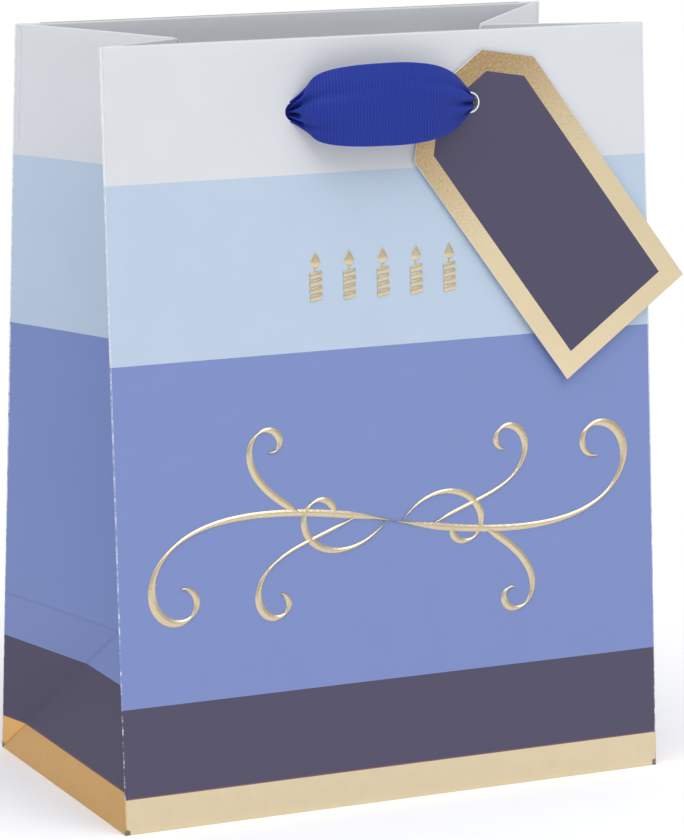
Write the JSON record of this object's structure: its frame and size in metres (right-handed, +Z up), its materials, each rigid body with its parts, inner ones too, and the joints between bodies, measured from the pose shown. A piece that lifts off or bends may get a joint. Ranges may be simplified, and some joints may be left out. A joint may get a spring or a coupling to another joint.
{
  "type": "gift bag",
  "caption": "Upright paper gift bag in wide horizontal colour bands with a foil foot, folded side gussets, ribbon loop handles and a foil-edged hang tag.",
  "frame": {"origin": "centre of the bag's underside, on the surface it stands on", "axes": "+Z up, the front panel with the tag faces -Y, +X to the right seen from the front"},
  "size_m": [0.1887, 0.102, 0.2293],
  "materials": {
    "printed_paper": "uncoated, matt",
    "foil_paper": "gold foil over paper",
    "plain_paper": "uncoated, matt",
    "card": "grey board",
    "ribbon": "ribbed grosgrain",
    "tag_card": "printed card with a foil border"
  },
  "bodies": {
    "base": {"base_board": "card", "bottom_flap_front": "plain_paper", "bottom_flap_back": "plain_paper", "bottom_flap_left": "plain_paper", "bottom_flap_right": "plain_paper"},
    "left_foot": {"left_foot_fold": "foil_paper"},
    "right_foot": {"right_foot_fold": "foil_paper"},
    "front": {"front_panel": "printed_paper", "front_card": "card", "front_hem": "plain_paper", "front_knot_left": "ribbon", "front_knot_right": "ribbon"},
    "back": {"back_panel": "printed_paper", "back_card": "card", "back_hem": "plain_paper", "side_seam_flap": "plain_paper", "back_knot_left": "ribbon", "back_knot_right": "ribbon"},
    "gusset_front_left": {"gusset_front_left": "printed_paper", "gusset_hem_front_left": "plain_paper"},
    "foot_corner_front_left": {"foot_corner_front_left": "printed_paper"},
    "gusset_back_left": {"gusset_back_left": "printed_paper", "gusset_hem_back_left": "plain_paper"},
    "foot_corner_back_left": {"foot_corner_back_left": "printed_paper"},
    "gusset_front_right": {"gusset_front_right": "printed_paper", "gusset_hem_front_right": "plain_paper"},
    "foot_corner_front_right": {"foot_corner_front_right": "printed_paper"},
    "gusset_back_right": {"gusset_back_right": "printed_paper", "gusset_hem_back_right": "plain_paper"},
    "foot_corner_back_right": {"foot_corner_back_right": "printed_paper"},
    "front_handle": {"front_ribbon": "ribbon"},
    "back_handle": {"back_ribbon": "ribbon"},
    "tag": {"tag": "tag_card"}
  },
  "joints": [
    {"name": "front_panel_tilt", "type": "hinge", "parent": "base", "child": "front", "pos_m": [0, -0.051, 0], "axis": [-1, 0, 0], "range_deg": [-2, 2]},
    {"name": "back_panel_tilt", "type": "hinge", "parent": "base", "child": "back", "pos_m": [0, 0.051, 0], "axis": [1, 0, 0], "range_deg": [-2.2, 2.2]},
    {"name": "left_foot_fold", "type": "hinge", "parent": "base", "child": "left_foot", "pos_m": [-0.089, 0, 0], "axis": [0, 1, 0], "range_deg": [-5.24, 5.24]},
    {"name": "gusset_front_left_fold", "type": "hinge", "parent": "front", "child": "gusset_front_left", "pos_m": [-0.089, -0.051, 0], "axis": [0, -0.0761, -0.9971], "range_deg": [-12.3, 12.3]},
    {"name": "foot_corner_front_left_fold", "type": "hinge", "parent": "front", "child": "foot_corner_front_left", "pos_m": [-0.089, -0.051, 0], "axis": [0, -0.0761, -0.9971], "range_deg": [-5.24, 5.24]},
    {"name": "gusset_back_left_fold", "type": "hinge", "parent": "back", "child": "gusset_back_left", "pos_m": [-0.089, 0.051, 0], "axis": [0, -0.0761, 0.9971], "range_deg": [-12.3, 12.3]},
    {"name": "foot_corner_back_left_fold", "type": "hinge", "parent": "back", "child": "foot_corner_back_left", "pos_m": [-0.089, 0.051, 0], "axis": [0, -0.0761, 0.9971], "range_deg": [-5.24, 5.24]},
    {"name": "right_foot_fold", "type": "hinge", "parent": "base", "child": "right_foot", "pos_m": [0.089, 0, 0], "axis": [0, -1, 0], "range_deg": [-5.24, 5.24]},
    {"name": "gusset_front_right_fold", "type": "hinge", "parent": "front", "child": "gusset_front_right", "pos_m": [0.089, -0.051, 0], "axis": [0, 0.0761, 0.9971], "range_deg": [-12.3, 12.3]},
    {"name": "foot_corner_front_right_fold", "type": "hinge", "parent": "front", "child": "foot_corner_front_right", "pos_m": [0.089, -0.051, 0], "axis": [0, 0.0761, 0.9971], "range_deg": [-5.24, 5.24]},
    {"name": "gusset_back_right_fold", "type": "hinge", "parent": "back", "child": "gusset_back_right", "pos_m": [0.089, 0.051, 0], "axis": [0, 0.0761, -0.9971], "range_deg": [-12.3, 12.3]},
    {"name": "foot_corner_back_right_fold", "type": "hinge", "parent": "back", "child": "foot_corner_back_right", "pos_m": [0.089, 0.051, 0], "axis": [0, 0.0761, -0.9971], "range_deg": [-5.24, 5.24]},
    {"name": "front_handle_lift", "type": "hinge", "parent": "front", "child": "front_handle", "pos_m": [0, -0.03514, 0.2079], "axis": [-1, 0, 0], "range_deg": [-20, 20], "stiffness_Nm_per_rad": 0.003},
    {"name": "back_handle_lift", "type": "hinge", "parent": "back", "child": "back_handle", "pos_m": [0, 0.03514, 0.2079], "axis": [1, 0, 0], "range_deg": [-20, 20], "stiffness_Nm_per_rad": 0.003},
    {"name": "tag_swing", "type": "hinge", "parent": "front", "child": "tag", "pos_m": [0.0285, -0.03514, 0.2079], "axis": [0, -0.9971, 0.0761], "range_deg": [-90, 55]}
  ],
  "couplings": [
    {"joint": "back_panel_tilt", "follows": "front_panel_tilt", "ratio": 1},
    {"joint": "left_foot_fold", "follows": "front_panel_tilt", "ratio": 2.47},
    {"joint": "gusset_front_left_fold", "follows": "front_panel_tilt", "ratio": 5.93},
    {"joint": "foot_corner_front_left_fold", "follows": "front_panel_tilt", "ratio": 2.47},
    {"joint": "gusset_back_left_fold", "follows": "front_panel_tilt", "ratio": 5.93},
    {"joint": "foot_corner_back_left_fold", "follows": "front_panel_tilt", "ratio": 2.47},
    {"joint": "right_foot_fold", "follows": "front_panel_tilt", "ratio": 2.47},
    {"joint": "gusset_front_right_fold", "follows": "front_panel_tilt", "ratio": 5.93},
    {"joint": "foot_corner_front_right_fold", "follows": "front_panel_tilt", "ratio": 2.47},
    {"joint": "gusset_back_right_fold", "follows": "front_panel_tilt", "ratio": 5.93},
    {"joint": "foot_corner_back_right_fold", "follows": "front_panel_tilt", "ratio": 2.47}
  ]
}
